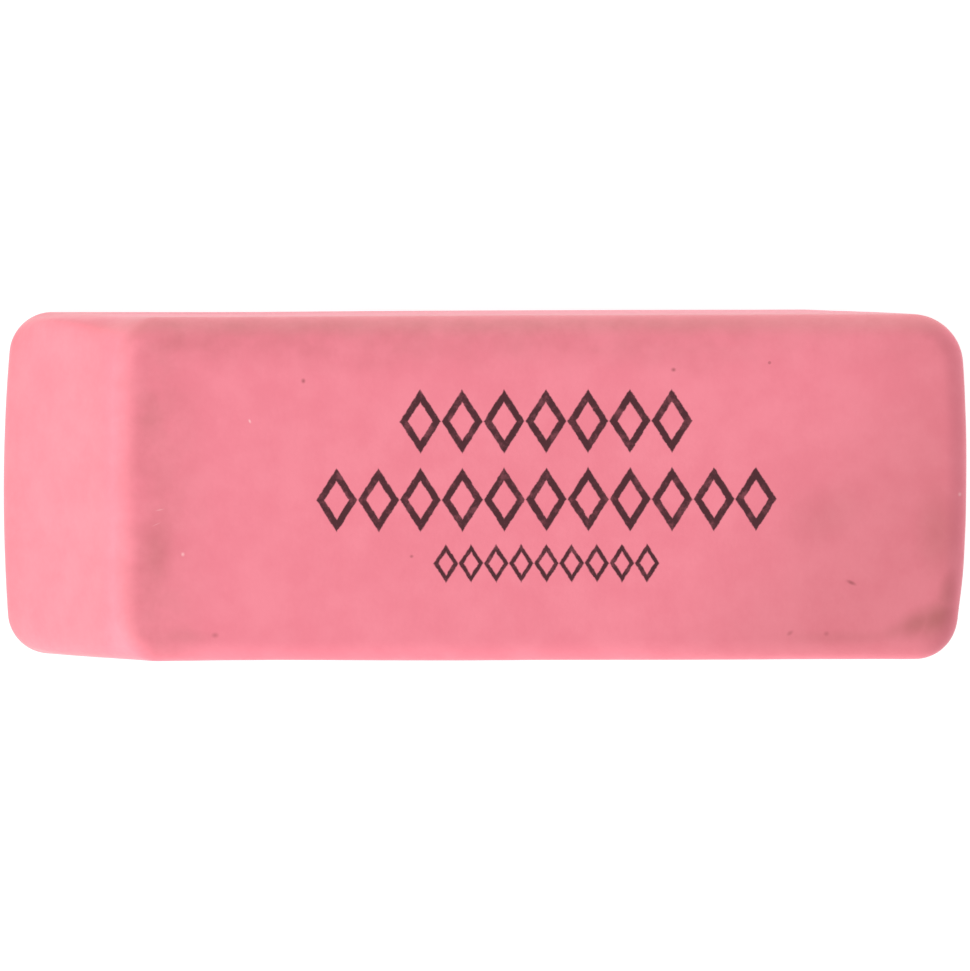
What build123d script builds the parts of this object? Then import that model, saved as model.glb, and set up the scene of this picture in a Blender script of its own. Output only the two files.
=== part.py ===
from build123d import *
from math import radians, tan
import os

# Rubber eraser, moulded in one piece: a flat block whose two ends slope the same way, so that its
# side is a parallelogram. The end at -X leans back from its foot and the end at +X overhangs.
# The block rests on Z = 0 with its length along X, and the origin lies under its middle.

# Overall sizes of the finished block, in millimetres, and the ends' slope from the base in degrees
block_length = 53.2
block_width = 19.0
block_thickness = 11.0
end_slope = 54.0

# Roundings: the rim all round each flat face, and the corners that the rim leaves on that face
rim_radius = 1.3
flat_corner_radius = 0.35

# Each flat face has a sharp tip at one end and a blunt heel at the other. The rim reaches in by
# tip_reach from a tip's edge and rounds the tip off by tip_setback, so the outline is drawn that
# much longer, and its corners are wide enough for the rim to turn inside them.
end_run = block_thickness / tan(radians(end_slope))
tip_reach = rim_radius / tan(radians(end_slope) / 2)
tip_setback = tip_reach - rim_radius
outline_length = block_length + 2 * tip_setback - end_run
corner_radius = tip_reach + flat_corner_radius
slant = Vector(end_run, 0, block_thickness)

with BuildPart() as eraser_block:
    # One rounded outline is carried up along the slant, which gives both sloping ends.
    with BuildSketch(Plane.XY):
        with Locations((-end_run / 2, 0)):
            RectangleRounded(outline_length, block_width, corner_radius)
    extrude(amount=slant.length, dir=slant.normalized())

    # The rims are the lowest and the highest ring of edges.
    edge_levels = eraser_block.edges().group_by(Axis.Z)
    fillet(edge_levels[0] + edge_levels[-1], rim_radius)

eraser_block.part.label = "eraser_block"

os.makedirs("parts", exist_ok=True)
export_step(eraser_block.part, "parts/eraser_block.step")
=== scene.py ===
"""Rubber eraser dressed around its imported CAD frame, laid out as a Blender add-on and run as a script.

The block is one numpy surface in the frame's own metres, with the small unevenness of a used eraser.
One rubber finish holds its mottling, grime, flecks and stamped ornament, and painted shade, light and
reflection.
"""

import math
from typing import NamedTuple

import bmesh
import bpy
import numpy as np
from bpy.props import FloatProperty, FloatVectorProperty, PointerProperty
from mathutils import Matrix, Vector


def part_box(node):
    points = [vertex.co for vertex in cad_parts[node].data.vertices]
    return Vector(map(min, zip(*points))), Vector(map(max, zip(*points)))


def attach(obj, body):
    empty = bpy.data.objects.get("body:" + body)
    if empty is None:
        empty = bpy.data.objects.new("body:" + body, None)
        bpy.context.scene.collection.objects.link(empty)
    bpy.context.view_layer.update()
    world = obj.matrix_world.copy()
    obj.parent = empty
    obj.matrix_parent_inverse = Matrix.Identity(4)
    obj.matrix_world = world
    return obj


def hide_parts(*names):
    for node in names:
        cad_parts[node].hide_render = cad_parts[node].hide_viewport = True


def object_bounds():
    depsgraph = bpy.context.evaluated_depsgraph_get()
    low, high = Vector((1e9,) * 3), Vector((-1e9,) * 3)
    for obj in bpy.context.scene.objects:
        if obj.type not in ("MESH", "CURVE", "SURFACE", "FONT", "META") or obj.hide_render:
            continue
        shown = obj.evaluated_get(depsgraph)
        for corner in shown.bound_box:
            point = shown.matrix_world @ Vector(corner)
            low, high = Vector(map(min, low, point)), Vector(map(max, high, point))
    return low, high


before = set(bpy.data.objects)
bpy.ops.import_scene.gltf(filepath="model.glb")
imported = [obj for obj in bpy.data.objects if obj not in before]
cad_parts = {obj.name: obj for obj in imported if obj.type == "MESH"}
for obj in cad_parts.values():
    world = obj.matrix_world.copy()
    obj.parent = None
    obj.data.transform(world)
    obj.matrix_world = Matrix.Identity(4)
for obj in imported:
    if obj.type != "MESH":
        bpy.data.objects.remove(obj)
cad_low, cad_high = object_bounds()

bl_info = {
    "name": "Rubber eraser",
    "version": (1, 0, 0),
    "blender": (4, 5, 0),
    "location": "View3D > Sidebar > Eraser",
    "description": "Builds a slant-ended block eraser in worn pink rubber, and the stage that it lies on",
    "category": "Add Mesh",
}

MM = 0.001
TO_MM = 1000.0
NODE = "eraser_block"
BODY = "root"
SLOT = "pink_rubber"

# The photograph's frame in pixels, which the lens is worked out from
IMAGE_WIDTH = 970
IMAGE_HEIGHT = 971

# Steps of the surface: along a long side, round a corner, across an end, then down the section
SIDE_STEPS = 150
CORNER_STEPS = 22
END_STEPS = 50
CAP_RINGS = 40
RIM_STEPS = 14
WALL_STEPS = 36

node_low, node_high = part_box(NODE)


# Sizes and colours that a user would change


class EraserShape(bpy.types.PropertyGroup):
    """Sizes of the rubber block."""

    length: FloatProperty(
        name="Length", description="Overall length from tip to tip",
        default=node_high.x - node_low.x, unit="LENGTH", precision=5,
    )
    width: FloatProperty(
        name="Width", description="Distance between the long sides",
        default=node_high.y - node_low.y, unit="LENGTH", precision=5,
    )
    thickness: FloatProperty(
        name="Thickness", description="Distance between the flat faces",
        default=node_high.z - node_low.z, unit="LENGTH", precision=5,
    )
    end_slope: FloatProperty(
        name="End slope", description="Angle of the sloping ends from the base",
        default=math.radians(54.0), subtype="ANGLE",
    )
    rim_radius: FloatProperty(
        name="Rim radius", description="Rounding of the flat faces' rims along the sides and tips",
        default=1.2 * MM, unit="LENGTH", precision=5,
    )
    heel_radius: FloatProperty(
        name="Heel radius", description="Rounding of the blunt edges where a flat face meets a slope",
        default=1.8 * MM, unit="LENGTH", precision=5,
    )
    foot_corners: FloatVectorProperty(
        name="Foot corners", description="Outline's corner radii at the tip on the floor, near and far side",
        default=(2.37 * MM, 2.38 * MM), size=2, unit="LENGTH", precision=5,
    )
    overhang_corners: FloatVectorProperty(
        name="Overhang corners", description="Outline's corner radii at the upper tip, near and far side",
        default=(2.44 * MM, 2.88 * MM), size=2, unit="LENGTH", precision=5,
    )
    heel_corner: FloatProperty(
        name="Heel corner", description="Corner radius of the outline at a blunt heel",
        default=2.7 * MM, unit="LENGTH", precision=5,
    )
    upright_power: FloatProperty(
        name="Upright power", description="How square the corners are half-way up, as a superellipse's power",
        default=8.0, min=2.0,
    )
    tip_bows: FloatVectorProperty(
        name="Tip bows", description="How far rubbing has rounded the foot's and the upper tip's edge back",
        default=(0.47 * MM, 0.51 * MM), size=2, unit="LENGTH", precision=5,
    )
    heel_bow: FloatProperty(
        name="Heel bow", description="How far a heel's edge curves back at its corners",
        default=0.05 * MM, unit="LENGTH", precision=5,
    )
    tip_skews: FloatVectorProperty(
        name="Tip skews",
        description="How far foot and upper tip are out of square, along X for a step along Y",
        default=(0.0103, 0.0146), size=2,
    )
    unevenness: FloatProperty(
        name="Unevenness", description="Depth of the faint waves in the moulded rubber",
        default=0.04 * MM, unit="LENGTH", precision=6,
    )


class EraserFinish(bpy.types.PropertyGroup):
    """Colours and textures of the rubber and of the print on it."""

    rubber: FloatVectorProperty(
        name="Rubber", description="Clean pink rubber", subtype="COLOR", size=4,
        default=(0.83, 0.212, 0.274, 1.0), min=0.0, max=1.0,
    )
    rubber_pale: FloatVectorProperty(
        name="Pale rubber", description="Paler clouds in the rubber", subtype="COLOR", size=4,
        default=(0.87, 0.240, 0.304, 1.0), min=0.0, max=1.0,
    )
    # Painted shade: besides the grime, this colour also darkens the rubber towards the overhanging tip
    grime_and_shade: FloatVectorProperty(
        name="Grime", description="What the heaviest grime leaves of the rubber's colour", subtype="COLOR",
        size=4, default=(0.58, 0.60, 0.50, 1.0), min=0.0, max=1.0,
    )
    # Painted light: a warm tint that slightly dims the left end's slope, standing in for warm light falling
    # on it
    slope_light_tint: FloatVectorProperty(
        name="Slope tint", description="Tint of the lower tip's slope, which rubbing has kept fresh",
        subtype="COLOR", size=4, default=(0.97, 0.965, 0.915, 1.0), min=0.0, max=1.0,
    )
    # Painted reflection: a dull pale tint along the far rim, standing in for its reflection of the bright
    # surroundings
    rim_reflection: FloatVectorProperty(
        name="Dust", description="Dull dust along the far rim", subtype="COLOR", size=4,
        default=(0.45, 0.50, 0.30, 1.0), min=0.0, max=1.0,
    )
    ink: FloatVectorProperty(
        name="Ink", description="Stamped ornament on the upper face", subtype="COLOR", size=4,
        default=(0.065, 0.011, 0.017, 1.0), min=0.0, max=1.0,
    )
    dark_fleck: FloatVectorProperty(
        name="Dark fleck", description="Specks of graphite and grit", subtype="COLOR", size=4,
        default=(0.30, 0.07, 0.08, 1.0), min=0.0, max=1.0,
    )
    pale_fleck: FloatVectorProperty(
        name="Pale fleck", description="Specks of filler in the rubber", subtype="COLOR", size=4,
        default=(1.0, 0.62, 0.62, 1.0), min=0.0, max=1.0,
    )
    line_width: FloatProperty(
        name="Line width", description="Width of a stamped line",
        default=0.38 * MM, unit="LENGTH", precision=5,
    )
    lozenge_pitch: FloatProperty(
        name="Lozenge pitch", description="Distance from one stamped lozenge to the next",
        default=2.3 * MM, unit="LENGTH", precision=5,
    )
    lozenge_size: FloatVectorProperty(
        name="Lozenge", description="Length and height of a stamped lozenge, to the middle of its line",
        default=(1.8 * MM, 2.8 * MM), size=2, unit="LENGTH", precision=5,
    )


class EraserStage(bpy.types.PropertyGroup):
    """Floor, lights and camera."""

    floor_radius: FloatProperty(
        name="Floor radius", description="Radius of the round floor", default=3.0, unit="LENGTH",
    )
    floor_colour: FloatVectorProperty(
        name="Floor", description="Pale floor", subtype="COLOR", size=4,
        default=(0.99, 0.99, 0.985, 1.0), min=0.0, max=1.0,
    )
    sky_strength: FloatProperty(
        name="Sky strength", description="Brightness of the even light from all round", default=0.70,
    )
    key_power: FloatProperty(
        name="Key light", description="Power of the soft light at the left front",
        default=3.0, unit="POWER",
    )
    back_power: FloatProperty(
        name="Back light", description="Power of the weak low light behind the block",
        default=1.0, unit="POWER",
    )
    camera_distance: FloatProperty(
        name="Camera distance", description="From the block's middle", default=0.8, unit="LENGTH",
    )
    camera_lean: FloatProperty(
        name="Camera lean", description="How far the camera stands off straight down, towards +Y",
        default=0.042, subtype="ANGLE",
    )
    camera_roll: FloatProperty(
        name="Camera roll", description="Turn of the picture, clockwise", default=-0.0032, subtype="ANGLE",
    )
    pixels_per_mm: FloatProperty(
        name="Picture scale", description="Pixels of the picture for each millimetre at the block's middle",
        default=18.106,
    )


# Surface of the block


class End(NamedTuple):
    """One end of a plan outline: its furthest X, its edge's bow, and its near and far corner radii."""

    x: float
    bow: float
    near: float
    far: float


class Corner(NamedTuple):
    """A corner's arc: its centre, and the angle where it meets the end's bowed edge."""

    x: float
    y: float
    meeting: float


def end_edge(end, half_width, facing):
    """Centre X and radius of an end's edge: a circle through the end's middle that falls back by the bow
    over the half width."""
    radius = (half_width**2 + end.bow**2) / (2 * end.bow)
    return end.x - facing * radius, radius


def end_corner(end, radius, half_width, facing):
    """Corner of an end that faces +X or -X: its circle touches the long side and, from inside, the edge."""
    edge_x, edge_radius = end_edge(end, half_width, facing)
    y = half_width - radius
    reach = math.sqrt((edge_radius - radius) ** 2 - y**2)
    return Corner(edge_x + facing * reach, y, math.atan2(y, reach))


def arc_run(centre_x, centre_y, radius, start, stop, steps, power=2.0):
    """Points and outward normals on a circle, evenly from one angle up to just before the next.

    With a power over 2 the points are pushed out along their normals onto the superellipse of that power.
    """
    angle = start + (stop - start) * np.arange(steps) / steps
    normals = np.stack([np.cos(angle), np.sin(angle)], axis=1)
    push = (np.abs(normals) ** power).sum(axis=1) ** (-1 / power)
    return np.array([centre_x, centre_y]) + (radius * push)[:, None] * normals, normals


def side_run(start_x, stop_x, y):
    """Points and outward normals along a long side, evenly from one X up to just before the next."""
    x = start_x + (stop_x - start_x) * np.arange(SIDE_STEPS) / SIDE_STEPS
    points = np.stack([x, np.full(SIDE_STEPS, y)], axis=1)
    return points, np.tile([0.0, np.sign(y)], (SIDE_STEPS, 1))


def plan_outline(left, right, half_width, power=2.0):
    """Closed line along a rim where its rounding is upright, anticlockwise, with outward normals.

    It joins two straight sides, four corners and two bowed edges, each tangent to the next. A corner is an
    arc, or with a power over 2 a squarer superellipse.
    """
    left_near = end_corner(left, left.near, half_width, -1)
    left_far = end_corner(left, left.far, half_width, -1)
    right_near = end_corner(right, right.near, half_width, 1)
    right_far = end_corner(right, right.far, half_width, 1)
    left_edge_x, left_edge_radius = end_edge(left, half_width, -1)
    right_edge_x, right_edge_radius = end_edge(right, half_width, 1)
    quarter = math.pi / 2
    half = math.pi
    left_far_turn = half - left_far.meeting
    left_near_turn = half + left_near.meeting
    runs = (
        side_run(left_near.x, right_near.x, -half_width),
        arc_run(right_near.x, -right_near.y, right.near, -quarter, -right_near.meeting, CORNER_STEPS, power),
        arc_run(right_edge_x, 0.0, right_edge_radius, -right_near.meeting, right_far.meeting, END_STEPS),
        arc_run(right_far.x, right_far.y, right.far, right_far.meeting, quarter, CORNER_STEPS, power),
        side_run(right_far.x, left_far.x, half_width),
        arc_run(left_far.x, left_far.y, left.far, quarter, left_far_turn, CORNER_STEPS, power),
        arc_run(left_edge_x, 0.0, left_edge_radius, left_far_turn, left_near_turn, END_STEPS),
        arc_run(left_near.x, -left_near.y, left.near, left_near_turn, 3 * quarter, CORNER_STEPS, power),
    )
    return tuple(np.concatenate(part) for part in zip(*runs))


def rim_rows(outline, normals, lean, face_z, side, radius):
    """Rounded rim of one flat face, as rows from the flat to the wall, and the rows' normals.

    At each outline point, in the plane of its normal, a circle of the rim's radius touches the outline from
    inside and the flat face from below. A row is one angle of that circle, from straight up round to the
    wall, which the circle reaches as far past upright as the wall leans in under the face.
    """
    centre = outline - radius[:, None] * normals
    angle = np.linspace(0, 1, RIM_STEPS)[:, None] * (math.pi / 2 + lean)
    flat_points = centre + (radius * np.sin(angle))[..., None] * normals
    height = face_z - side * radius * (1 - np.cos(angle))
    row_normals = np.concatenate(
        [np.sin(angle)[..., None] * normals, side * np.cos(angle)[..., None]], axis=2
    )
    return np.concatenate([flat_points, height[..., None]], axis=2), row_normals


def wall_rows(top, base, top_way, base_way):
    """Wall between the rims, as rows from the upper to the lower one: cubic curves that leave and reach the
    rims along the ways given there."""
    share = np.linspace(0, 1, WALL_STEPS)[1:-1, None, None]
    rest = 1 - share
    ends = rest**2 * (1 + 2 * share) * top + share**2 * (1 + 2 * rest) * base
    return ends + share * rest * (rest * top_way - share * base_way)


def cap_rows(loop):
    """Flat face inside a rim, as rings that shrink from the rim onto a line along the face's middle.

    The line stops half a width short of the face's ends. The columns of each long side are spread evenly
    along it, so that the two sides meet point by point, and an end's columns all meet at the line's end.
    Rows run from the middle line out to the ring next to the rim.
    """
    half = np.abs(loop[:, 1]).max()
    start = loop[:, 0].min() + half
    stop = loop[:, 0].max() - half
    along = np.arange(SIDE_STEPS) / SIDE_STEPS
    end = np.ones(2 * CORNER_STEPS + END_STEPS)
    middle = np.zeros_like(loop)
    middle[:, 0] = start + (stop - start) * np.concatenate([along, end, 1 - along, 0 * end])
    middle[:, 2] = loop[:, 2]
    share = np.linspace(1, 0, CAP_RINGS, endpoint=False)[:, None, None]
    rings = loop + (middle - loop) * share
    return rings, np.linalg.norm(rings - loop, axis=2)


class Grid(NamedTuple):
    """A closed surface as rows of rings: its points, their outward normals, and how far in from a rim each
    point lies."""

    points: np.ndarray
    normals: np.ndarray
    inset: np.ndarray


def block_grid(shape):
    """The whole block, as rings from the middle of the upper face out, down the walls and in below.

    The two faces have like outlines, turned end for end and set apart along the ends' slope. Towards a tip a
    point moves along X by the tip's skew times Y, times the square of its share of the way there from the
    middle. Half-way up the walls the outline is crisp. At a face its corners and tips are worn back, and the
    wear dies away with the fourth power of the distance from the other face, so where a wall meets a rim it
    rises along the slope plus four times the wear. A rim's circle lies inside the sharp edge of two planes
    that meet at the end's slope, which at a tip sets its outermost line in from that edge and at a heel puts
    it out past the edge.
    """
    thickness = shape.thickness
    run = thickness / math.tan(shape.end_slope)
    half_slope = math.tan(shape.end_slope / 2)
    tip_x = shape.length / 2
    sharp_tip_x = tip_x + shape.rim_radius * (1 / half_slope - 1)
    heel_x = sharp_tip_x - run + shape.heel_radius * (1 - half_slope)
    half_width = shape.width / 2
    heel_corners = (shape.heel_corner, shape.heel_corner)
    lower, lower_normals = plan_outline(
        End(-tip_x, shape.tip_bows[0], *shape.foot_corners),
        End(heel_x, shape.heel_bow, *heel_corners),
        half_width,
    )
    upper, upper_normals = plan_outline(
        End(-heel_x, shape.heel_bow, *heel_corners),
        End(tip_x, shape.tip_bows[1], *shape.overhang_corners),
        half_width,
    )
    lower[:, 0] += shape.tip_skews[0] * lower[:, 1] * np.clip(-lower[:, 0] / tip_x, 0, 1) ** 2
    upper[:, 0] += shape.tip_skews[1] * upper[:, 1] * np.clip(upper[:, 0] / tip_x, 0, 1) ** 2
    lower_crisp, _ = plan_outline(
        End(-tip_x, shape.heel_bow, *shape.foot_corners),
        End(heel_x, shape.heel_bow, *heel_corners),
        half_width, shape.upright_power,
    )
    upper_crisp, _ = plan_outline(
        End(-heel_x, shape.heel_bow, *heel_corners),
        End(tip_x, shape.heel_bow, *shape.overhang_corners),
        half_width, shape.upright_power,
    )
    slant = np.array([run, 0.0])
    wear_power = 4
    upper_rise = slant + wear_power * (upper - upper_crisp)
    lower_rise = slant - wear_power * (lower - lower_crisp)

    blunt = shape.heel_radius - shape.rim_radius
    upper_radius = shape.rim_radius + blunt * np.clip(-upper_normals[:, 0], 0, 1) ** 2
    lower_radius = shape.rim_radius + blunt * np.clip(lower_normals[:, 0], 0, 1) ** 2
    upper_lean = np.arctan((upper_rise * upper_normals).sum(axis=1) / thickness)
    lower_lean = np.arctan((-lower_rise * lower_normals).sum(axis=1) / thickness)
    top, top_normals = rim_rows(upper, upper_normals, upper_lean, thickness, 1, upper_radius)
    base, base_normals = rim_rows(lower, lower_normals, lower_lean, 0.0, -1, lower_radius)

    columns = len(upper)
    climb = np.full((columns, 1), thickness)
    wall_part = ((top[-1] - base[-1])[:, 2] / thickness)[:, None]
    top_way = -np.concatenate([upper_rise, climb], axis=1) * wall_part
    base_way = -np.concatenate([lower_rise, climb], axis=1) * wall_part
    wall = wall_rows(top[-1], base[-1], top_way, base_way)
    share = np.linspace(0, 1, WALL_STEPS)[1:-1, None, None]
    wall_normals = top_normals[-1] + (base_normals[-1] - top_normals[-1]) * share
    wall_normals /= np.linalg.norm(wall_normals, axis=2, keepdims=True)
    wall_inset = np.minimum(
        np.linalg.norm(wall - top[-1], axis=2), np.linalg.norm(wall - base[-1], axis=2)
    )

    top_cap, top_inset = cap_rows(top[0])
    base_cap, base_inset = cap_rows(base[0])
    up = np.broadcast_to([0.0, 0.0, 1.0], top_cap.shape)
    no_inset = np.zeros((RIM_STEPS, columns))
    return Grid(
        np.concatenate([top_cap, top, wall, base[::-1], base_cap[::-1]]),
        np.concatenate([up, top_normals, wall_normals, base_normals[::-1], -up]),
        np.concatenate([top_inset, no_inset, wall_inset, no_inset, base_inset[::-1]]),
    )


def waves(points, shortest, longest, count, seed):
    """Smooth random field between about -1 and 1: the sum of plane waves in random directions, over the
    root of twice their count."""
    draw = np.random.default_rng(seed)
    directions = draw.normal(size=(count, 3))
    directions /= np.linalg.norm(directions, axis=1, keepdims=True)
    wavelength = draw.uniform(shortest, longest, count)
    phase = draw.uniform(0, 2 * math.pi, count)
    steps = directions * (2 * math.pi / wavelength)[:, None]
    return np.sin(points @ steps.T + phase).sum(axis=-1) / math.sqrt(2 * count)


class Hollow(NamedTuple):
    """A worn place, in millimetres: its centre, its reach along each axis and its depth."""

    centre: tuple
    reach: tuple
    depth: float


HOLLOWS = (
    # Far side, towards the heel
    Hollow((-14.5, 9.5, 4.0), (7.0, 3.0, 5.0), 0.13),
    # Near side, towards the heel
    Hollow((-11.5, -9.5, 5.0), (7.0, 3.0, 6.0), 0.09),
    # Corner of the overhanging tip, at the near side
    Hollow((26.2, -7.4, 10.0), (1.6, 1.8, 1.6), 0.10),
)


def worn(grid, shape):
    """Points of the grid, sunk along their normals by broad waves, fine waves and worn hollows.

    Each hollow is a bell curve in space. The sinking fades out towards the underside, which stays flat on
    the floor, and all points stay in the frame's box.
    """
    broad = waves(grid.points, shortest=7 * MM, longest=22 * MM, count=24, seed=4)
    fine = waves(grid.points, shortest=1.4 * MM, longest=3.5 * MM, count=40, seed=9)
    mean_share = 0.3
    broad_share = 0.4
    fine_share = 0.1
    sink = shape.unevenness * np.clip(mean_share + broad_share * broad + fine_share * fine, 0, None)
    for hollow in HOLLOWS:
        away = (grid.points - np.array(hollow.centre) * MM) / (np.array(hollow.reach) * MM)
        sink = sink + hollow.depth * MM * np.exp(-(away**2).sum(axis=-1))
    full_height = 0.2 * shape.thickness
    fade = np.clip(grid.points[..., 2] / full_height, 0, 1)
    points = grid.points - grid.normals * (sink * fade)[..., None]
    return np.clip(points, np.array(node_low), np.array(node_high))


def bake_map(points):
    """Flat map of the surface for baking, as UV for each face's four corners.

    The upper face fills the map's width, and the underside is drawn smaller. The walls and rims between
    them are unrolled into two strips, one for each half of the outline.
    """
    rows, columns = points.shape[:2]
    gap = 0.012
    extent = np.ptp(points.reshape(-1, 3), axis=0)
    corner = points.reshape(-1, 3).min(axis=0)
    ring = np.concatenate([points, points[:, :1]], axis=1)
    along = np.linalg.norm(np.diff(ring[rows // 2, :, :2], axis=0), axis=1).cumsum()
    along = np.concatenate([[0.0], along])
    across = np.linalg.norm(np.diff(points, axis=0), axis=2).mean(axis=1).cumsum()
    across = np.concatenate([[0.0], across])
    strip_rows = slice(CAP_RINGS, rows - CAP_RINGS)
    strip_height = across[strip_rows][-1] - across[strip_rows][0]

    face_scale = (1 - 2 * gap) / extent[0]
    strip_scale = (1 - 2 * gap) / max(along[columns // 2], along[-1] - along[columns // 2])
    face_v = 1 - gap - extent[1] * face_scale
    first_v = face_v - gap - strip_height * strip_scale
    second_v = first_v - gap - strip_height * strip_scale
    base_scale = min(face_scale, (second_v - 2 * gap) / extent[1])

    row = np.arange(rows - 1)[:, None, None] + np.array([0, 1, 1, 0])
    column = np.arange(columns)[None, :, None] + np.array([0, 0, 1, 1])
    at = ring[row, column]
    flat = at[..., :2] - corner[:2]
    top_uv = gap + flat * face_scale + np.array([0.0, face_v - gap])
    base_uv = gap + flat * base_scale
    second = np.arange(columns)[None, :, None] >= columns // 2
    strip_u = gap + (along[column] - np.where(second, along[columns // 2], 0.0)) * strip_scale
    strip_v = np.where(second, second_v, first_v) + (across[row] - across[CAP_RINGS]) * strip_scale
    strip_uv = np.stack(np.broadcast_arrays(strip_u, strip_v), axis=-1)
    face_row = np.arange(rows - 1)[:, None, None, None]
    uv = np.where(face_row < CAP_RINGS, top_uv, strip_uv)
    return np.where(face_row >= rows - 1 - CAP_RINGS, base_uv, uv)


def mesh_from_grid(name, grid, points):
    """Mesh of a closed grid, with its bake map and the inset of each point as an attribute."""
    rows, columns = points.shape[:2]
    here = np.arange(rows * columns).reshape(rows, columns)
    beside = np.roll(here, -1, axis=1)
    faces = np.stack([here[:-1], here[1:], beside[1:], beside[:-1]], axis=-1).reshape(-1, 4)
    mesh = bpy.data.meshes.new(name)
    mesh.from_pydata(points.reshape(-1, 3), [], faces)
    layer = mesh.attributes.new("inset", "FLOAT", "POINT")
    layer.data.foreach_set("value", grid.inset.astype(np.float32).ravel())
    layer = mesh.uv_layers.new(name="OFBake")
    layer.uv.foreach_set("vector", bake_map(points).astype(np.float32).ravel())
    close_middle_lines(mesh)
    mesh.polygons.foreach_set("use_smooth", np.ones(len(mesh.polygons), bool))
    mesh.update()
    return mesh


def close_middle_lines(mesh):
    """Merges the points that meet on each cap's middle line, so the surface has no slit."""
    merge_distance = 1e-7
    work = bmesh.new()
    work.from_mesh(mesh)
    bmesh.ops.remove_doubles(work, verts=work.verts, dist=merge_distance)
    work.to_mesh(mesh)
    work.free()


# Finish of the rubber


class Sheet:
    """A node tree, with short calls for the nodes that the finishes use.

    A call gives an output of its node. Only add and noise give the node, and axes gives three outputs.
    """

    def __init__(self, tree):
        self.tree = tree

    def add(self, kind, inputs=None, **settings):
        node = self.tree.nodes.new(kind)
        for name, value in settings.items():
            setattr(node, name, value)
        for name, value in (inputs or {}).items():
            self.feed(node.inputs[name], value)
        return node

    def feed(self, socket, value):
        if isinstance(value, bpy.types.NodeSocket):
            self.tree.links.new(value, socket)
        else:
            socket.default_value = value

    def math(self, operation, *values, clamp=False):
        inputs = dict(enumerate(values))
        return self.add("ShaderNodeMath", inputs, operation=operation, use_clamp=clamp).outputs[0]

    def times(self, first, second):
        return self.math("MULTIPLY", first, second)

    def vector(self, operation, *values):
        return self.add("ShaderNodeVectorMath", dict(enumerate(values)), operation=operation).outputs[0]

    def dot(self, first, second):
        node = self.add("ShaderNodeVectorMath", {0: first, 1: second}, operation="DOT_PRODUCT")
        return node.outputs["Value"]

    def scaled(self, vector, scale):
        node = self.add("ShaderNodeVectorMath", {0: vector, "Scale": scale}, operation="SCALE")
        return node.outputs[0]

    def axes(self, place):
        return self.add("ShaderNodeSeparateXYZ", {0: place}).outputs

    def group(self, tree, inputs):
        return self.add("ShaderNodeGroup", inputs, node_tree=tree).outputs["Mask"]

    def fade(self, value, start, stop, low=0.0, high=1.0):
        """Goes smoothly from low to high while the value goes from start to stop."""
        inputs = {"Value": value, "From Min": start, "From Max": stop, "To Min": low, "To Max": high}
        return self.add("ShaderNodeMapRange", inputs, interpolation_type="SMOOTHSTEP").outputs[0]

    def band(self, value, edge, way, band):
        """Grows smoothly from nothing at a band's end to its strength where it is full, both counted from
        the edge and upwards or downwards, as the way is 1 or -1."""
        return self.fade(value, edge + way * band.end, edge + way * band.full, high=band.strength)

    def noise(self, vector, scale, detail=2.0, roughness=0.5):
        inputs = {"Vector": vector, "Scale": scale, "Detail": detail, "Roughness": roughness}
        return self.add("ShaderNodeTexNoise", inputs)

    def strayed(self, place, colour, reach):
        """A place moved along each axis by up to half the reach either way, as a noise's colour says."""
        away = self.vector("SUBTRACT", colour, (0.5, 0.5, 0.5))
        return self.vector("ADD", place, self.scaled(away, reach))

    def mix(self, factor, first, second, blend="MIX"):
        node = self.add("ShaderNodeMix", data_type="RGBA", blend_type=blend)
        factor_in, colour_a, colour_b = node.inputs[0], node.inputs[6], node.inputs[7]
        colour_out = node.outputs[2]
        self.feed(factor_in, factor)
        self.feed(colour_a, first)
        self.feed(colour_b, second)
        return colour_out

    def attribute(self, name):
        return self.add("ShaderNodeAttribute", attribute_name=name).outputs["Fac"]

    def largest(self, values):
        result = values[0]
        for value in values[1:]:
            result = self.math("MAXIMUM", result, value)
        return result


def new_material(name):
    """New material with an empty node tree, and the sheet that fills it."""
    material = bpy.data.materials.new(name)
    material.use_nodes = True
    material.node_tree.nodes.clear()
    return material, Sheet(material.node_tree)


def mask_group(name, vectors, numbers):
    """New node group that takes vectors and numbers by name and puts out one mask."""
    tree = bpy.data.node_groups.new(name, "ShaderNodeTree")
    for kind, inputs in (("NodeSocketVector", vectors), ("NodeSocketFloat", numbers)):
        for item in inputs:
            tree.interface.new_socket(item, in_out="INPUT", socket_type=kind)
    tree.interface.new_socket("Mask", in_out="OUTPUT", socket_type="NodeSocketFloat")
    return tree


class Band(NamedTuple):
    """A soft band beside an edge, in millimetres: how far off it ends and is full, and its strength."""

    end: float
    full: float
    strength: float = 1.0


# The upper face down to its rims, and the upper part of the walls
UPPER_FACE = Band(0.8, 0.2)
UPPER_WALL = Band(4.0, 1.0)
# Grime along the heel and the far side, painted shade towards the tip from the block's middle, and grime in
# from any rim
HEEL_GRIME = Band(4.6, 0.5, 0.29)
FAR_GRIME = Band(3.6, 1.2, 0.31)
TIP_FALLOFF_SHADE = Band(12.0, 26.0, 0.37)
RIM_FILM = Band(3.0, 0.0, 0.12)
# Painted reflection on the far rim, the pale line on the heel's edge, and painted warm light on the slope
# beyond it
FAR_REFLECTION = Band(1.4, 0.3, 0.10)
HEEL_LINE = Band(1.1, 0.0, 0.045)
LIT_SLOPE = Band(1.2, 2.8)


class Spot(NamedTuple):
    """A mark on the upper face, in millimetres and degrees: centre, half sizes, turn and strength."""

    x: float
    y: float
    half_length: float
    half_width: float
    turn: float
    strength: float


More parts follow.
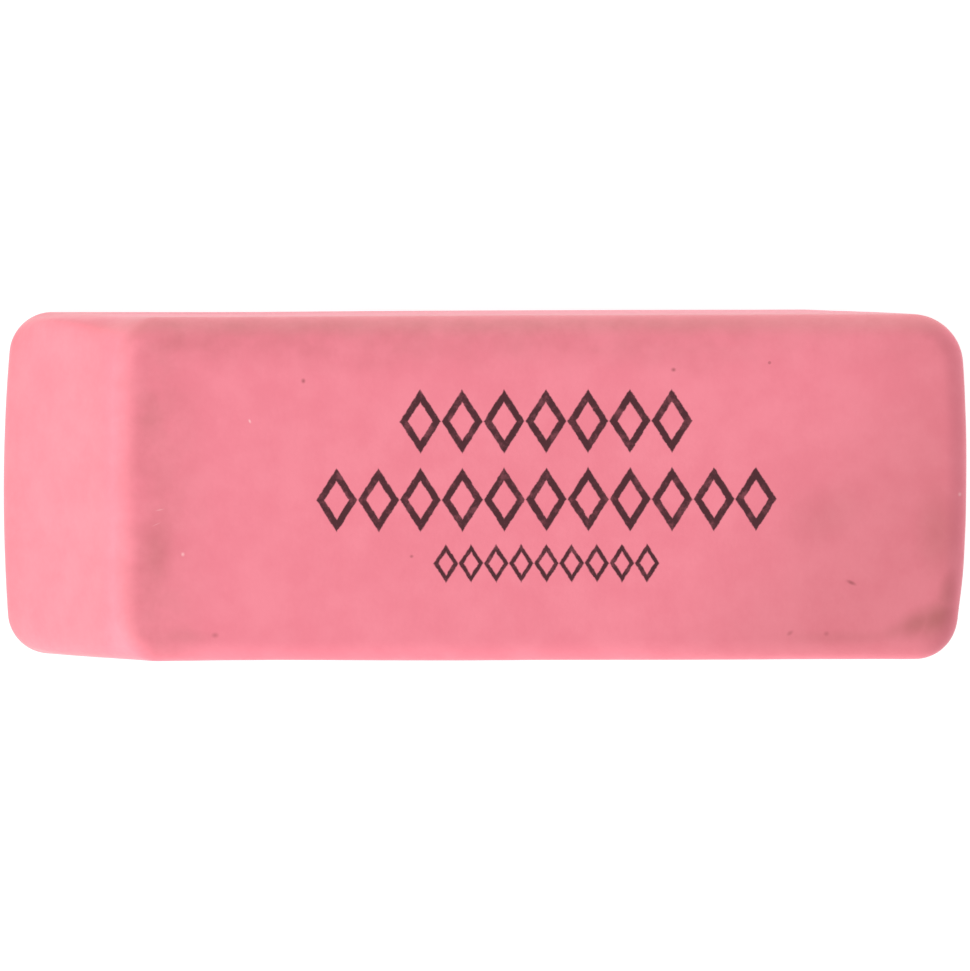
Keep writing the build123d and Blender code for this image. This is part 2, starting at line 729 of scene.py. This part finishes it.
SMUDGES = (
    # Dull patch along the near half of the overhanging tip
    Spot(25.0, -2.5, 3.4, 1.7, 92.0, 0.28),
    # Streak that curves round that tip's near corner
    Spot(25.45, -5.9, 2.0, 0.8, 80.0, 0.34),
    Spot(24.85, -7.25, 1.8, 1.2, 46.0, 0.62),
    Spot(23.9, -7.45, 1.9, 1.05, 24.0, 0.54),
    Spot(22.9, -7.8, 1.8, 0.7, 18.0, 0.24),
    # Handling marks further in
    Spot(18.6, -1.6, 3.4, 2.2, 30.0, 0.2),
    Spot(19.7, -8.2, 4.5, 0.6, 0.0, 0.14),
    # Blotches beside the heel
    Spot(-18.2, 4.0, 1.2, 1.8, 0.0, 0.22),
    Spot(-18.0, -3.6, 1.5, 3.2, -8.0, 0.28),
    Spot(-16.4, 8.1, 2.6, 0.8, 4.0, 0.2),
    Spot(-16.2, -8.0, 2.2, 0.6, -8.0, 0.2),
)
DARK_FLECKS = (
    Spot(-9.8, 5.95, 0.17, 0.2, 0.0, 0.7),
    Spot(10.5, 6.5, 0.2, 0.17, 0.0, 0.7),
    Spot(-3.9, -3.7, 0.16, 0.14, 0.0, 0.6),
    Spot(20.22, -5.22, 0.42, 0.16, -25.0, 0.7),
    Spot(16.85, -7.98, 0.3, 0.17, 35.0, 0.42),
    Spot(18.85, -8.02, 0.22, 0.2, 0.0, 0.36),
    Spot(-14.7, -8.0, 0.3, 0.22, 0.0, 0.4),
)
PALE_FLECKS = (
    Spot(-16.45, -3.55, 0.14, 0.16, 0.0, 0.55),
    Spot(-12.75, 3.75, 0.09, 0.17, 25.0, 0.7),
    Spot(26.2, -0.4, 0.14, 0.16, 0.0, 0.5),
    Spot(-17.7, -1.1, 0.32, 0.05, 12.0, 0.32),
    Spot(-17.9, -1.9, 0.36, 0.04, 24.0, 0.22),
)


def spot_group():
    """Node group for one soft oval mark: it fades smoothly from its strength at the centre to nothing at a
    distance of one, counted in the mark's half length along it and its half width across it."""
    tree = mask_group("Soft spot", ("Place", "Centre", "Along", "Across"), ("Strength",))
    sheet = Sheet(tree)
    given = sheet.add("NodeGroupInput").outputs
    away = sheet.vector("SUBTRACT", given["Place"], given["Centre"])
    along = sheet.dot(away, given["Along"])
    across = sheet.dot(away, given["Across"])
    square = sheet.math("MULTIPLY_ADD", along, along, sheet.times(across, across))
    inside = sheet.fade(sheet.math("SQRT", square), start=1.0, stop=0.0)
    sheet.add("NodeGroupOutput", {"Mask": sheet.times(inside, given["Strength"])})
    return tree


def spots_mask(sheet, place, spots, group):
    """The strongest of some soft marks at each place, as seen from above."""
    masks = []
    for spot in spots:
        turn = math.radians(spot.turn)
        inputs = {
            "Place": place,
            "Centre": (spot.x, spot.y, 0.0),
            "Along": (math.cos(turn) / spot.half_length, math.sin(turn) / spot.half_length, 0.0),
            "Across": (-math.sin(turn) / spot.half_width, math.cos(turn) / spot.half_width, 0.0),
            "Strength": spot.strength,
        }
        masks.append(sheet.group(group, inputs))
    return sheet.largest(masks)


def lozenge_run_group():
    """Node group for one run of outlined lozenges, in millimetres.

    Along the run, position is wrapped into one pitch, which gives the place from the nearest lozenge's
    centre. On a lozenge's edge, the shares of its half length and half height that a place lies away add up
    to 1, so the distance from the edge is that sum less 1, over the sum's steepness. The line is where the
    distance is under half a line's width. Lozenges past half the run's length are dropped.
    """
    numbers = ("Centre X", "Centre Y", "Run length", "Pitch", "Length", "Height", "Line width")
    tree = mask_group("Lozenge run", ("Place",), numbers)
    sheet = Sheet(tree)
    given = sheet.add("NodeGroupInput").outputs
    axes = sheet.axes(given["Place"])
    along = sheet.math("SUBTRACT", axes["X"], given["Centre X"])
    up = sheet.math("SUBTRACT", axes["Y"], given["Centre Y"])
    half_pitch = sheet.times(given["Pitch"], 0.5)
    local = sheet.math("WRAP", along, half_pitch, sheet.times(half_pitch, -1.0))
    steep_along = sheet.math("DIVIDE", 2.0, given["Length"])
    steep_up = sheet.math("DIVIDE", 2.0, given["Height"])
    share_along = sheet.times(sheet.math("ABSOLUTE", local), steep_along)
    share = sheet.math("MULTIPLY_ADD", sheet.math("ABSOLUTE", up), steep_up, share_along)
    square = sheet.math("MULTIPLY_ADD", steep_along, steep_along, sheet.times(steep_up, steep_up))
    over = sheet.math("ABSOLUTE", sheet.math("SUBTRACT", share, 1.0))
    distance = sheet.math("DIVIDE", over, sheet.math("SQRT", square))
    beyond = sheet.math("SUBTRACT", distance, sheet.times(given["Line width"], 0.5))
    soft_edge = 0.04
    line = sheet.fade(beyond, start=soft_edge, stop=-soft_edge)
    centre_at = sheet.math("ABSOLUTE", sheet.math("SUBTRACT", along, local))
    in_run = sheet.math("LESS_THAN", centre_at, sheet.times(given["Run length"], 0.5))
    sheet.add("NodeGroupOutput", {"Mask": sheet.times(line, in_run)})
    return tree


class Run(NamedTuple):
    """A run of stamped lozenges: its centre in millimetres, its count of lozenges and their scale."""

    x: float
    y: float
    count: int
    scale: float


LOZENGE_RUNS = (
    Run(3.5, 3.7, 7, 1.0),
    Run(3.5, -0.6, 11, 1.0),
    Run(3.5, -4.1, 9, 0.6),
)


def stamp_mask(sheet, place, finish, on_top):
    """Where the stamp left ink: all the runs of lozenges, with ragged edges and thin places."""
    ragged = sheet.noise(place, scale=2.6, detail=3.0, roughness=0.7).outputs["Color"]
    shaken = sheet.strayed(place, ragged, reach=0.16)
    group = lozenge_run_group()
    length, height = finish.lozenge_size
    masks = []
    for run in LOZENGE_RUNS:
        scale = TO_MM * run.scale
        inputs = {
            "Place": shaken,
            "Centre X": run.x,
            "Centre Y": run.y,
            "Run length": finish.lozenge_pitch * scale * run.count,
            "Pitch": finish.lozenge_pitch * scale,
            "Length": length * scale,
            "Height": height * scale,
            "Line width": finish.line_width * scale,
        }
        masks.append(sheet.group(group, inputs))
    patchy = sheet.noise(place, scale=1.1, detail=4.0, roughness=0.75).outputs[0]
    thinnest = 0.86
    coverage = sheet.fade(patchy, start=0.30, stop=0.52, low=thinnest)
    return sheet.times(sheet.times(sheet.largest(masks), coverage), on_top)


def heel_edge(shape):
    """X of the upper face's edge at the heel, in millimetres, taken as sharp."""
    return (shape.thickness / math.tan(shape.end_slope) - shape.length / 2) * TO_MM


def grime_and_shade_mask(sheet, place, shape, on_top, spot):
    """How much grime and painted shade lie on the rubber, from 0 to 1.

    On the upper face, grime bands follow the heel and the far side, painted shade grows towards the
    overhanging tip as the left light falls off and eases off on the tip's rim, and placed smudges of grime
    lie over them, all broken up by cloudy noise. Elsewhere a thin film of grime gathers along the rims.
    """
    cloud = sheet.noise(place, scale=0.28, detail=3.0, roughness=0.62).outputs["Color"]
    axes = sheet.axes(sheet.strayed(place, cloud, reach=2.4))
    patchy = sheet.noise(place, scale=0.55, detail=3.0, roughness=0.6).outputs[0]
    blotch = sheet.fade(patchy, start=0.32, stop=0.68, low=0.45)

    heel_band = sheet.band(axes["X"], heel_edge(shape), 1, HEEL_GRIME)
    far_band = sheet.band(axes["Y"], shape.width / 2 * TO_MM, -1, FAR_GRIME)
    far_thinning = sheet.fade(axes["X"], start=8.0, stop=20.0, low=1.0, high=0.5)
    far_band = sheet.times(far_band, far_thinning)
    bands = sheet.times(sheet.math("MAXIMUM", heel_band, far_band), blotch)

    # Painted shade: a darkening that grows towards the overhanging tip stands in for the left light falling
    # off, and it eases off on the tip's rim
    falloff_slant = -0.72
    slanting = sheet.math("MULTIPLY_ADD", axes["Y"], falloff_slant, axes["X"])
    tip_x = shape.length / 2 * TO_MM
    ease_start = tip_x - 1.6
    ease_stop = tip_x - 0.4
    rim_eased = sheet.fade(sheet.axes(place)["X"], ease_start, ease_stop, low=1.0, high=0.55)
    falloff_shade = sheet.times(sheet.band(slanting, 0.0, 1, TIP_FALLOFF_SHADE), rim_eased)

    smudged = spots_mask(sheet, sheet.strayed(place, cloud, reach=0.6), SMUDGES, spot)
    on_face = sheet.math("ADD", sheet.math("ADD", bands, falloff_shade), smudged)
    face_grime_and_shade = sheet.times(on_face, on_top)

    inset = sheet.times(sheet.attribute("inset"), TO_MM)
    film = sheet.times(sheet.band(inset, 0.0, 1, RIM_FILM), blotch)
    edges = sheet.times(film, sheet.math("SUBTRACT", 1.0, on_top))
    return sheet.math("ADD", face_grime_and_shade, edges, clamp=True)


def scattered_flecks(sheet, place):
    """Sparse small flecks all over: the cores of random cells, kept only in the few cells drawn for it."""
    cells_per_mm = 0.30
    cells = sheet.add("ShaderNodeTexVoronoi", {"Vector": place, "Scale": cells_per_mm, "Randomness": 1.0})
    draw = sheet.add("ShaderNodeSeparateColor", {0: cells.outputs["Color"]}).outputs[0]
    least_draw = 0.62
    kept = sheet.math("GREATER_THAN", draw, least_draw)
    core = sheet.fade(cells.outputs["Distance"], start=0.036, stop=0.016, high=0.5)
    return sheet.times(core, kept)


def rubber_material(shape, finish):
    """Matte pink rubber: mottled, grimy along its edges, flecked, and stamped with ink on its upper face,
    with painted shade, light and reflection.
    """
    material, sheet = new_material(SLOT)
    place = sheet.scaled(sheet.add("ShaderNodeTexCoord").outputs["Object"], TO_MM)
    axes = sheet.axes(place)
    top_z = shape.thickness * TO_MM
    heel_x = heel_edge(shape)
    on_top = sheet.band(axes["Z"], top_z, -1, UPPER_FACE)
    by_top = sheet.band(axes["Z"], top_z, -1, UPPER_WALL)

    mottle = sheet.noise(place, scale=0.42, detail=4.0, roughness=0.62).outputs[0]
    clouds = sheet.fade(mottle, start=0.30, stop=0.72)
    colour = sheet.mix(clouds, tuple(finish.rubber), tuple(finish.rubber_pale))
    # Painted light: the left end's slope is warmed, standing in for the key light's tint there
    on_slope = sheet.band(axes["X"], heel_x, -1, LIT_SLOPE)
    colour = sheet.mix(on_slope, colour, tuple(finish.slope_light_tint), "MULTIPLY")
    spot = spot_group()
    # Grime, and painted shade that grows towards the overhanging tip, darken the colour
    grime_and_shade = grime_and_shade_mask(sheet, place, shape, on_top, spot)
    colour = sheet.mix(grime_and_shade, colour, tuple(finish.grime_and_shade), "MULTIPLY")
    # Painted reflection: the far rim's upper part turns dull and pale
    far_rim = sheet.band(axes["Y"], shape.width / 2 * TO_MM, -1, FAR_REFLECTION)
    colour = sheet.mix(sheet.times(far_rim, by_top), colour, tuple(finish.rim_reflection))
    line_x = heel_x - 1.2
    from_line = sheet.math("ABSOLUTE", sheet.math("SUBTRACT", axes["X"], line_x))
    heel_line = sheet.band(from_line, 0.0, 1, HEEL_LINE)
    colour = sheet.mix(sheet.times(heel_line, by_top), colour, tuple(finish.pale_fleck))
    placed = sheet.times(spots_mask(sheet, place, DARK_FLECKS, spot), on_top)
    dark = sheet.math("MAXIMUM", placed, scattered_flecks(sheet, place))
    colour = sheet.mix(dark, colour, tuple(finish.dark_fleck))
    pale = sheet.times(spots_mask(sheet, place, PALE_FLECKS, spot), on_top)
    colour = sheet.mix(pale, colour, tuple(finish.pale_fleck))
    ink = stamp_mask(sheet, place, finish, on_top)
    colour = sheet.mix(ink, colour, tuple(finish.ink))

    grain = sheet.noise(place, scale=3.2, detail=2.0, roughness=0.6).outputs[0]
    bare_roughness = sheet.fade(grain, start=0.25, stop=0.75, low=0.56, high=0.70)
    ink_change = -0.12
    roughness = sheet.math("ADD", bare_roughness, sheet.times(ink, ink_change))
    bump = sheet.add("ShaderNodeBump", {"Strength": 0.35, "Distance": 0.03 * MM, "Height": grain})

    rubber = sheet.add(
        "ShaderNodeBsdfPrincipled",
        {
            "Base Color": colour,
            "Roughness": roughness,
            "Normal": bump.outputs[0],
            "IOR": 1.5,
            "Specular IOR Level": 0.32,
            "Sheen Weight": 0.32,
            "Sheen Roughness": 0.3,
        },
    )
    sheet.add("ShaderNodeOutputMaterial", {"Surface": rubber.outputs[0]})
    return material


# Stage


def floor_material(stage):
    """Bright pale floor: mostly its own even light, so that shadows on it stay faint, with a soft mottle."""
    material, sheet = new_material("pale_floor")
    material.cycles.emission_sampling = "NONE"
    place = sheet.add("ShaderNodeTexCoord").outputs["Object"]
    mottle = sheet.noise(place, scale=9.0, detail=3.0).outputs[0]
    mottle_gain = 1.01
    paler = tuple(min(1.0, part * mottle_gain) for part in stage.floor_colour[:3]) + (1.0,)
    colour = sheet.mix(mottle, tuple(stage.floor_colour), paler)
    shader = sheet.add(
        "ShaderNodeBsdfPrincipled",
        {
            "Base Color": (0.36, 0.36, 0.36, 1.0),
            "Roughness": 0.9,
            "Specular IOR Level": 0.1,
            "Emission Color": colour,
            "Emission Strength": 0.80,
        },
    )
    sheet.add("ShaderNodeOutputMaterial", {"Surface": shader.outputs[0]})
    return material


def floor_mesh(radius):
    """Round floor as a grid of rings and spokes, flat on Z = 0 and closed at its middle by a fan."""
    rings = 12
    spokes = 96
    angle = np.arange(spokes) * 2 * math.pi / spokes
    reach = radius * (np.arange(1, rings + 1) / rings) ** 2
    flat = reach[:, None, None] * np.stack([np.cos(angle), np.sin(angle)], axis=1)
    points = np.concatenate([flat, np.zeros((rings, spokes, 1))], axis=2).reshape(-1, 3)
    points = np.concatenate([points, np.zeros((1, 3))])
    here = np.arange(rings * spokes).reshape(rings, spokes)
    beside = np.roll(here, -1, axis=1)
    quads = np.stack([here[:-1], here[1:], beside[1:], beside[:-1]], axis=-1).reshape(-1, 4)
    middle = np.full(spokes, rings * spokes)
    fan = np.stack([middle, here[0], beside[0]], axis=-1)
    mesh = bpy.data.meshes.new("floor")
    mesh.from_pydata(points, [], quads.tolist() + fan.tolist())
    mesh.update()
    return mesh


def soft_light(name, direction, power, middle, distance, size):
    """Square area light that stands off from the block's middle in a direction and faces it."""
    data = bpy.data.lights.new(name, "AREA")
    data.energy = power
    data.size = size
    light = bpy.data.objects.new(name, data)
    away = np.array(direction) / np.linalg.norm(direction)
    light.location = middle + away * distance
    light.rotation_euler = Vector(away).to_track_quat("Z", "Y").to_euler()
    return light


def studio_world(strength):
    """Even pale light from all round."""
    world = bpy.data.worlds.new("studio_light")
    world.use_nodes = True
    background = world.node_tree.nodes["Background"]
    background.inputs["Color"].default_value = (1.0, 1.0, 1.0, 1.0)
    background.inputs["Strength"].default_value = strength
    return world


def photo_camera(stage, middle):
    """Camera above the block that stands a little off straight down, with a long lens.

    The lens makes the picture's scale at the block's middle, where the sensor's width spans the frame's
    longer side. The picture's centre lies a little off the block's middle.
    """
    data = bpy.data.cameras.new("photo_camera")
    frame_side = max(IMAGE_WIDTH, IMAGE_HEIGHT)
    data.sensor_width = 36.0
    data.lens = stage.pixels_per_mm * TO_MM * stage.camera_distance / frame_side * data.sensor_width
    data.clip_start = 0.01
    camera = bpy.data.objects.new("photo_camera", data)
    block_pixel_x = 482.47
    block_pixel_y = 484.59
    aside = (IMAGE_WIDTH / 2 - block_pixel_x) / stage.pixels_per_mm * MM
    below = (IMAGE_HEIGHT / 2 - block_pixel_y) / stage.pixels_per_mm * MM
    look = (
        Matrix.Translation(middle)
        @ Matrix.Rotation(-stage.camera_lean, 4, "X")
        @ Matrix.Rotation(stage.camera_roll, 4, "Z")
    )
    camera.matrix_world = look @ Matrix.Translation((aside, -below, stage.camera_distance))
    return camera


# Operators and panel


class ERASER_OT_stage(bpy.types.Operator):
    """Make the floor, the lights and the camera"""

    bl_idname = "eraser.stage"
    bl_label = "Stage"

    def execute(self, context):
        stage = context.scene.eraser_stage
        middle = np.array((cad_low + cad_high) / 2)
        floor = bpy.data.objects.new("floor", floor_mesh(stage.floor_radius))
        floor.data.materials.append(floor_material(stage))
        key_way = (-0.749, -0.507, 0.426)
        back_way = (0.15, 0.95, 0.27)
        key = soft_light("key_light", key_way, stage.key_power, middle, distance=0.6, size=0.45)
        back = soft_light("back_light", back_way, stage.back_power, middle, distance=0.6, size=0.4)
        camera = photo_camera(stage, middle)
        for item in (floor, key, back, camera):
            context.scene.collection.objects.link(item)
        context.scene.world = studio_world(stage.sky_strength)
        context.scene.camera = camera
        context.scene.view_settings.view_transform = "Standard"
        return {"FINISHED"}


class ERASER_OT_block(bpy.types.Operator):
    """Make the rubber block in place of its CAD node"""

    bl_idname = "eraser.block"
    bl_label = "Rubber block"

    def execute(self, context):
        shape = context.scene.eraser_shape
        grid = block_grid(shape)
        mesh = mesh_from_grid("rubber_block", grid, worn(grid, shape))
        block = bpy.data.objects.new("rubber_block", mesh)
        mesh.materials.append(rubber_material(shape, context.scene.eraser_finish))
        context.scene.collection.objects.link(block)
        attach(block, BODY)
        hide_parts(NODE)
        return {"FINISHED"}


class ERASER_PT_panel(bpy.types.Panel):
    """Sidebar panel with the eraser's sizes, colours and operators"""

    bl_idname = "ERASER_PT_panel"
    bl_label = "Rubber eraser"
    bl_space_type = "VIEW_3D"
    bl_region_type = "UI"
    bl_category = "Eraser"

    def draw(self, context):
        for group in (context.scene.eraser_shape, context.scene.eraser_finish, context.scene.eraser_stage):
            box = self.layout.box()
            for name in group.__annotations__:
                box.prop(group, name)
        for operator in (ERASER_OT_stage, ERASER_OT_block):
            self.layout.operator(operator.bl_idname)


CLASSES = (EraserShape, EraserFinish, EraserStage, ERASER_OT_stage, ERASER_OT_block, ERASER_PT_panel)


def register():
    for item in CLASSES:
        bpy.utils.register_class(item)
    bpy.types.Scene.eraser_shape = PointerProperty(type=EraserShape)
    bpy.types.Scene.eraser_finish = PointerProperty(type=EraserFinish)
    bpy.types.Scene.eraser_stage = PointerProperty(type=EraserStage)


def unregister():
    del bpy.types.Scene.eraser_stage
    del bpy.types.Scene.eraser_finish
    del bpy.types.Scene.eraser_shape
    for item in reversed(CLASSES):
        bpy.utils.unregister_class(item)


def main():
    register()
    bpy.ops.eraser.stage()
    bpy.ops.eraser.block()


if __name__ == "__main__":
    main()
